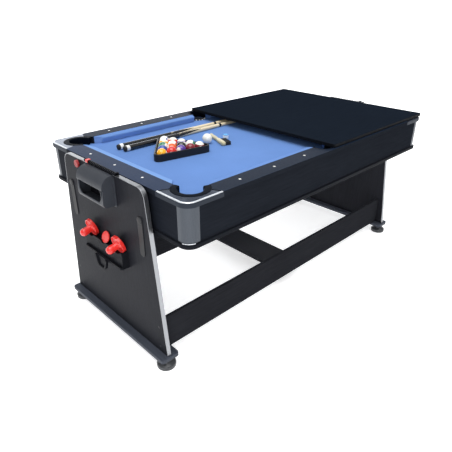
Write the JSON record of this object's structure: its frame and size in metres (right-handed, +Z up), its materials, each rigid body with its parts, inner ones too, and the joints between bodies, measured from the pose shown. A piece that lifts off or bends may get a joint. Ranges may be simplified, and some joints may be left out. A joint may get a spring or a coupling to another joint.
{
  "type": "swivel pool and air hockey table",
  "caption": "Swivelling games table: a pool bed above an air hockey bed, turning on two pivots between end panels, half under a loose cover board.",
  "frame": {"origin": "on the floor, at the middle of the table's length and width", "axes": "+X along the table's length, away from the end with the pusher holder; +Y to the rear; +Z up"},
  "size_m": [2.0285, 1.074, 0.863],
  "materials": {
    "ball_resin": "polished resin",
    "black_plastic": "moulded black",
    "board": "black wood-grain laminate on particle board",
    "chromed": "chrome-plated and black moulded corner",
    "cloth": "board covered with blue cloth",
    "grey_plastic": "silver-grey moulded corner",
    "maple": "lacquered",
    "rail_board": "satin blue-black laminate, with cloth-covered rubber cushions",
    "red_plastic": "moulded red",
    "silver_trim": "silver edge trim",
    "steel": "zinc plated",
    "white_board": "white laminate"
  },
  "bodies": {
    "stand": {"leg_panel_left": "board", "leg_panel_right": "board", "panel_trim_left": "silver_trim", "panel_trim_right": "silver_trim", "base_beam_left": "board", "base_beam_right": "board", "goal_box_left": "black_plastic", "goal_box_right": "black_plastic", "scorer_strip_left": "black_plastic", "scorer_strip_right": "black_plastic", "stretcher_front": "board", "stretcher_rear": "board", "cross_board": "board", "pusher_holder": "black_plastic"},
    "cabinet": {"apron_front": "board", "apron_rear": "board", "apron_left": "board", "apron_right": "board", "rail_front": "rail_board", "rail_rear": "rail_board", "rail_left": "rail_board", "rail_right": "rail_board", "corner_post_front_left": "grey_plastic", "corner_post_front_right": "grey_plastic", "corner_post_rear_left": "grey_plastic", "corner_post_rear_right": "grey_plastic", "corner_casting_front_left": "chromed", "corner_casting_front_right": "chromed", "corner_casting_rear_left": "chromed", "corner_casting_rear_right": "chromed", "corner_pocket_front_left": "black_plastic", "corner_pocket_front_right": "black_plastic", "corner_pocket_rear_left": "black_plastic", "corner_pocket_rear_right": "black_plastic", "side_pocket_front": "black_plastic", "side_pocket_rear": "black_plastic", "pool_bed": "cloth", "hockey_rails": "board", "hockey_bed": "white_board", "air_blower": "black_plastic", "pivot_axle_left": "steel", "pivot_axle_right": "steel"},
    "foot_front_left": {"levelling_foot_front_left": "black_plastic"},
    "foot_front_right": {"levelling_foot_front_right": "black_plastic"},
    "foot_rear_left": {"levelling_foot_rear_left": "black_plastic"},
    "foot_rear_right": {"levelling_foot_rear_right": "black_plastic"},
    "clamp_left": {"clamp_knob_left": "red_plastic"},
    "score_left": {"scorer_slider_left": "red_plastic"},
    "clamp_right": {"clamp_knob_right": "red_plastic"},
    "score_right": {"scorer_slider_right": "red_plastic"},
    "pusher_front": {"pusher_front": "red_plastic"},
    "pusher_rear": {"pusher_rear": "red_plastic"},
    "puck": {"puck": "red_plastic"},
    "cover": {"cover_board_right": "board"},
    "cue_rear": {"cue_rear": "maple"},
    "cue_front": {"cue_front": "maple"},
    "rack": {"ball_rack": "black_plastic", "racked_balls": "ball_resin"},
    "cue_ball": {"cue_ball": "ball_resin"},
    "brush": {"table_brush": "maple"}
  },
  "joints": [
    {"name": "cabinet_turn", "type": "hinge", "parent": "stand", "child": "cabinet", "pos_m": [0, 0, 0.7485], "axis": [1, 0, 0], "range_deg": [0, 180]},
    {"name": "foot_front_left_turn", "type": "hinge", "parent": "stand", "child": "foot_front_left", "pos_m": [-0.936, -0.37, 0], "axis": [0, 0, 1], "continuous": true},
    {"name": "foot_front_right_turn", "type": "hinge", "parent": "stand", "child": "foot_front_right", "pos_m": [0.936, -0.37, 0], "axis": [0, 0, 1], "continuous": true},
    {"name": "foot_rear_left_turn", "type": "hinge", "parent": "stand", "child": "foot_rear_left", "pos_m": [-0.936, 0.37, 0], "axis": [0, 0, 1], "continuous": true},
    {"name": "foot_rear_right_turn", "type": "hinge", "parent": "stand", "child": "foot_rear_right", "pos_m": [0.936, 0.37, 0], "axis": [0, 0, 1], "continuous": true},
    {"name": "clamp_left_slide", "type": "slide", "parent": "stand", "child": "clamp_left", "axis": [-1, 0, 0], "range_m": [-0.004, 0.01]},
    {"name": "score_left_slide", "type": "slide", "parent": "stand", "child": "score_left", "axis": [0, -1, 0], "range_m": [0, 0.21]},
    {"name": "clamp_right_slide", "type": "slide", "parent": "stand", "child": "clamp_right", "axis": [1, 0, 0], "range_m": [-0.004, 0.01]},
    {"name": "score_right_slide", "type": "slide", "parent": "stand", "child": "score_right", "axis": [0, 1, 0], "range_m": [0, 0.21]},
    {"name": "pusher_front_lift", "type": "slide", "parent": "stand", "child": "pusher_front", "axis": [0, 0, 1], "range_m": [0, 0.06]},
    {"name": "pusher_rear_lift", "type": "slide", "parent": "stand", "child": "pusher_rear", "axis": [0, 0, 1], "range_m": [0, 0.06]},
    {"name": "puck_lift", "type": "slide", "parent": "stand", "child": "puck", "axis": [0, 0, 1], "range_m": [0, 0.06]},
    {"name": "cover_lift", "type": "slide", "parent": "cabinet", "child": "cover", "axis": [0, 0, 1], "range_m": [0, 0.2]},
    {"name": "rack_lift", "type": "slide", "parent": "cabinet", "child": "rack", "axis": [0, 0, 1], "range_m": [0, 0.1]},
    {"name": "cue_ball_lift", "type": "slide", "parent": "cabinet", "child": "cue_ball", "axis": [0, 0, 1], "range_m": [0, 0.1]},
    {"name": "brush_lift", "type": "slide", "parent": "cabinet", "child": "brush", "axis": [0, 0, 1], "range_m": [0, 0.1]},
    {"name": "cue_rear_lift", "type": "slide", "parent": "cabinet", "child": "cue_rear", "axis": [0, 0, 1], "range_m": [0, 0.015]},
    {"name": "cue_front_lift", "type": "slide", "parent": "cabinet", "child": "cue_front", "axis": [0, 0, 1], "range_m": [0, 0.015]}
  ]
}
